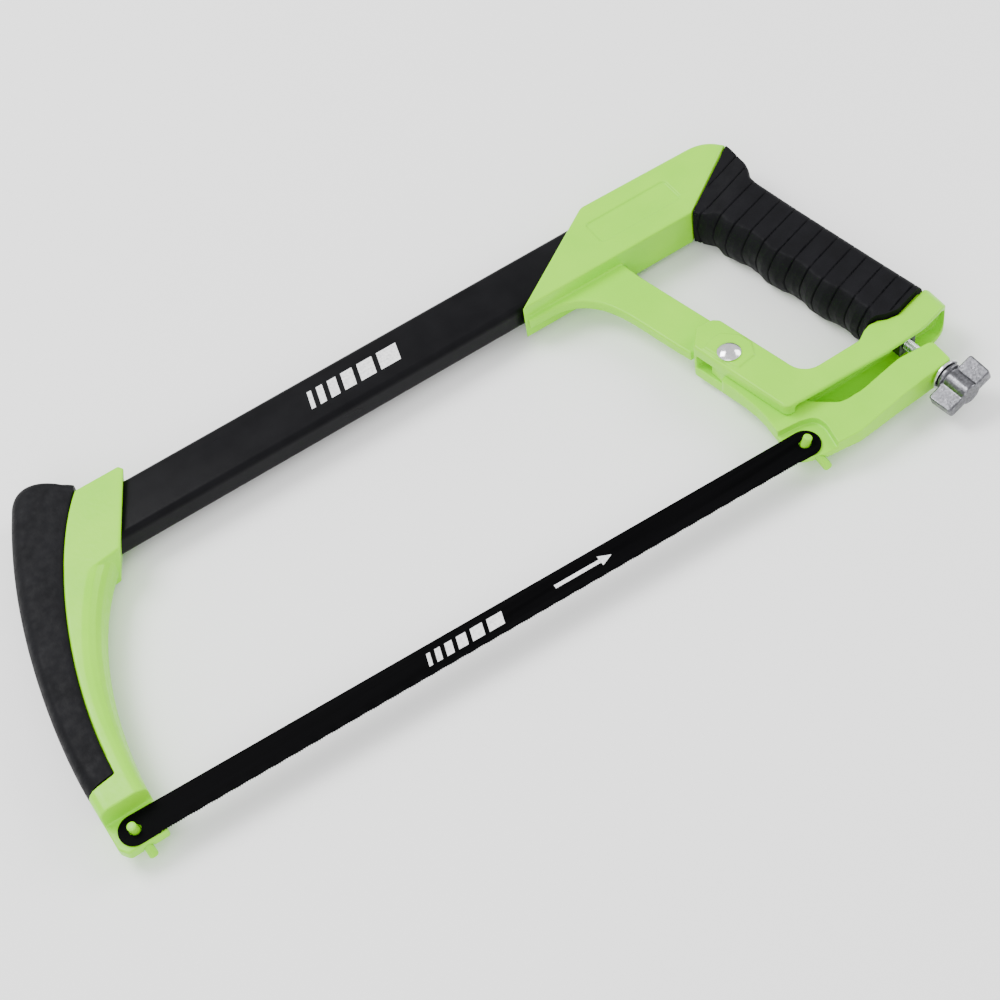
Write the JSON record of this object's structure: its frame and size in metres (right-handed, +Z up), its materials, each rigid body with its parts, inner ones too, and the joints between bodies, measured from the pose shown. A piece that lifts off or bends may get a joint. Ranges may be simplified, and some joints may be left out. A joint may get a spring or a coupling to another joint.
{
  "type": "hacksaw",
  "caption": "High-tension hacksaw: rectangular tube spine, cast D handle with rubber grip, screw-tensioned lever and a blade held on leaning pins.",
  "frame": {"origin": "middle of the underside of the saw's bounding box, the saw lying on its far side", "axes": "+X along the frame tube towards the handle, +Y from the blade to the tube, +Z up through the saw's thickness, out of its near side"},
  "size_m": [0.3964, 0.1972, 0.0252],
  "materials": {
    "green_paint": "gloss",
    "tube_paint": "satin",
    "rubber": "matte",
    "blade_paint": "matte",
    "bright_steel": "polished",
    "cast_metal": "satin",
    "dark_steel": "satin"
  },
  "bodies": {
    "frame": {"spine_tube": "tube_paint", "front_casting": "green_paint", "front_grip": "rubber", "handle_casting": "green_paint", "handle_grip": "rubber", "pivot_rivet": "bright_steel", "front_pin": "green_paint", "front_flush_pin": "green_paint", "tension_nut": "dark_steel", "front_collar_screw_1": "dark_steel", "front_collar_screw_2": "dark_steel", "rear_collar_screw_1": "dark_steel", "rear_collar_screw_2": "dark_steel"},
    "lever": {"tension_lever": "green_paint", "rear_pin": "green_paint", "rear_flush_pin": "green_paint"},
    "washer": {"screw_washer": "bright_steel"},
    "knob": {"tension_screw": "bright_steel", "wing_knob": "cast_metal"},
    "blade": {"blade": "blade_paint"}
  },
  "joints": [
    {"name": "knob_turn", "type": "hinge", "parent": "washer", "child": "knob", "pos_m": [0.17688, -0.08264, 0.0126], "axis": [0.0785, -0.9969, 0], "range_deg": [0, 2300]},
    {"name": "washer_travel", "type": "slide", "parent": "frame", "child": "washer", "axis": [0.0785, -0.9969, 0], "range_m": [0, 0.0053]},
    {"name": "lever_pivot", "type": "hinge", "parent": "frame", "child": "lever", "pos_m": [0.11088, -0.02679, 0.0126], "axis": [0, 0, 1], "range_deg": [-4.6, 0]},
    {"name": "blade_lift", "type": "slide", "parent": "frame", "child": "blade", "axis": [-0.1392, 0, 0.9903], "range_m": [0, 0.0082]}
  ],
  "couplings": [
    {"joint": "washer_travel", "follows": "knob_turn", "m_per_rad": 0.00012732},
    {"joint": "lever_pivot", "follows": "knob_turn", "ratio": -0.0019565},
    {"joint": "blade_lift", "follows": "knob_turn", "m_per_rad": 0.0001968}
  ]
}
